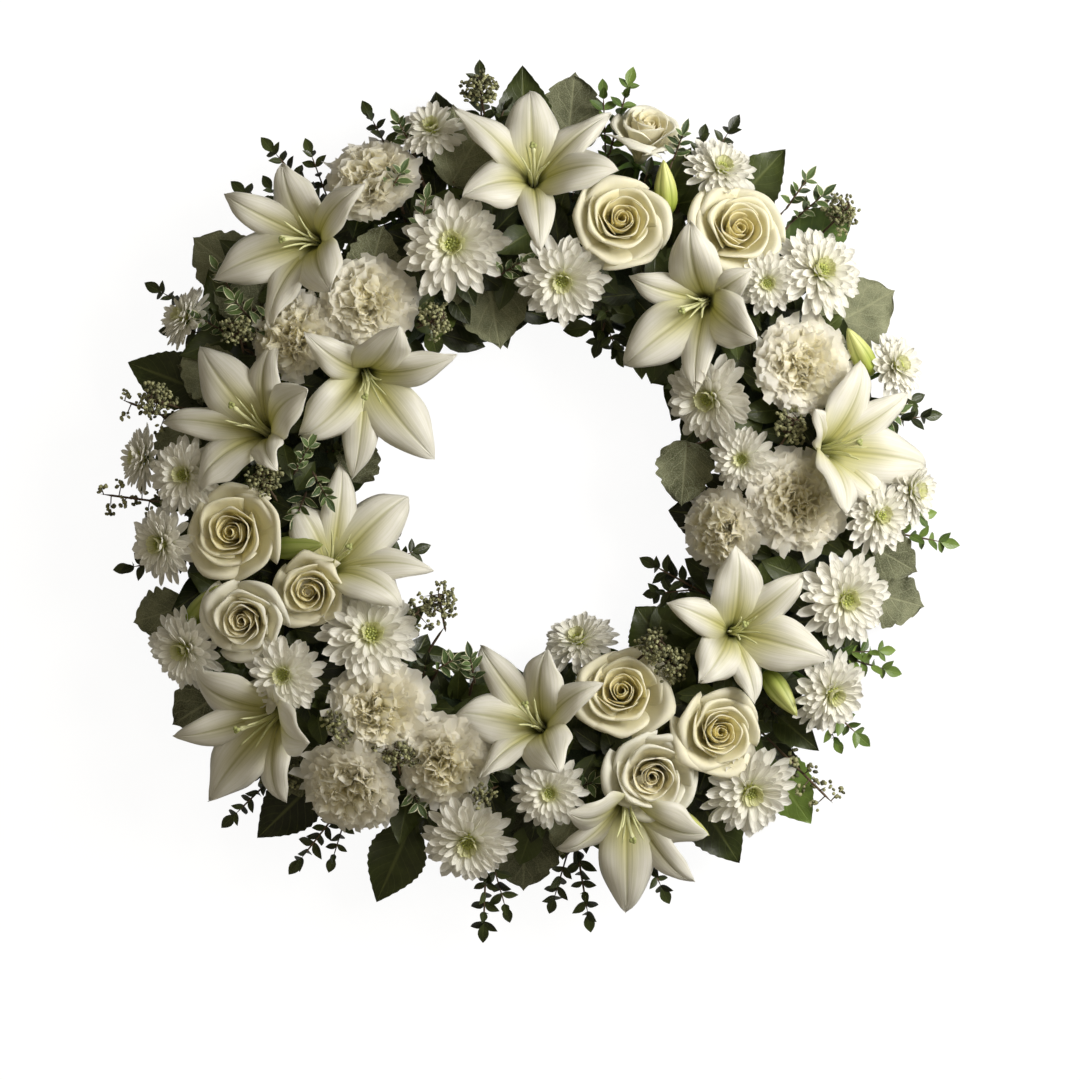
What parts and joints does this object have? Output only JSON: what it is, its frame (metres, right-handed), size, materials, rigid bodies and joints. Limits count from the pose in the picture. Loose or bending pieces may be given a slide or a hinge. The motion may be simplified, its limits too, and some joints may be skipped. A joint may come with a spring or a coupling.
{
  "type": "funeral wreath",
  "caption": "Round wreath of white lilies, cream roses, carnations, chrysanthemums and mixed greens on a soaked foam ring in a shallow tray, lying on its back.",
  "frame": {"origin": "on the ring's axis, in the plane of the tray's flat underside", "axes": "+Z out of the wreath's face, +Y towards the top of the wreath as it hangs or stands, +X to its right"},
  "size_m": [0.6343, 0.6448, 0.1416],
  "materials": {
    "lily_petal": "soft waxy white petals with a green throat",
    "rose_petal": "soft cream petals, yellower at the heart",
    "carnation_petal": "matte ivory frilled petals",
    "chrysanthemum_petal": "matte white ray petals with a green eye",
    "dark_foliage": "semi-gloss dark green leaves",
    "silver_foliage": "velvety grey-green leaves",
    "tray_plastic": "dark green moulded plastic",
    "floral_foam": "soaked green open-cell foam, as heavy as water"
  },
  "bodies": {
    "root": {"base_tray": "tray_plastic", "carnation_01": "carnation_petal", "carnation_02": "carnation_petal", "carnation_03": "carnation_petal", "carnation_04": "carnation_petal", "carnation_05": "carnation_petal", "carnation_06": "carnation_petal", "carnation_07": "carnation_petal", "carnation_08": "carnation_petal", "carnation_09": "carnation_petal", "dusty_miller_1": "silver_foliage", "dusty_miller_2": "silver_foliage", "dusty_miller_3": "silver_foliage", "dusty_miller_4": "silver_foliage", "dusty_miller_5": "silver_foliage", "dusty_miller_6": "silver_foliage", "dusty_miller_7": "silver_foliage", "foam_ring": "floral_foam", "greens_inner_1": "dark_foliage", "greens_inner_2": "dark_foliage", "greens_outer_1": "dark_foliage", "greens_outer_2": "dark_foliage", "greens_outer_3": "dark_foliage", "greens_outer_4": "dark_foliage", "greens_outer_5": "dark_foliage", "lily_01": "lily_petal", "lily_02": "lily_petal", "lily_03": "lily_petal", "lily_04": "lily_petal", "lily_05": "lily_petal", "lily_06": "lily_petal", "lily_07": "lily_petal", "lily_08": "lily_petal", "lily_09": "lily_petal", "lily_10": "lily_petal", "lily_11": "lily_petal", "mum_spray_01": "chrysanthemum_petal", "mum_spray_02": "chrysanthemum_petal", "mum_spray_03": "chrysanthemum_petal", "mum_spray_04": "chrysanthemum_petal", "mum_spray_05": "chrysanthemum_petal", "mum_spray_06": "chrysanthemum_petal", "mum_spray_07": "chrysanthemum_petal", "mum_spray_08": "chrysanthemum_petal", "mum_spray_09": "chrysanthemum_petal", "mum_spray_10": "chrysanthemum_petal", "mum_spray_11": "chrysanthemum_petal", "mum_spray_12": "chrysanthemum_petal", "mum_spray_13": "chrysanthemum_petal", "mum_spray_14": "chrysanthemum_petal", "mum_spray_15": "chrysanthemum_petal", "rose_01": "rose_petal", "rose_02": "rose_petal", "rose_03": "rose_petal", "rose_04": "rose_petal", "rose_05": "rose_petal", "rose_06": "rose_petal", "rose_07": "rose_petal", "rose_08": "rose_petal", "rose_09": "rose_petal"}
  },
  "joints": []
}
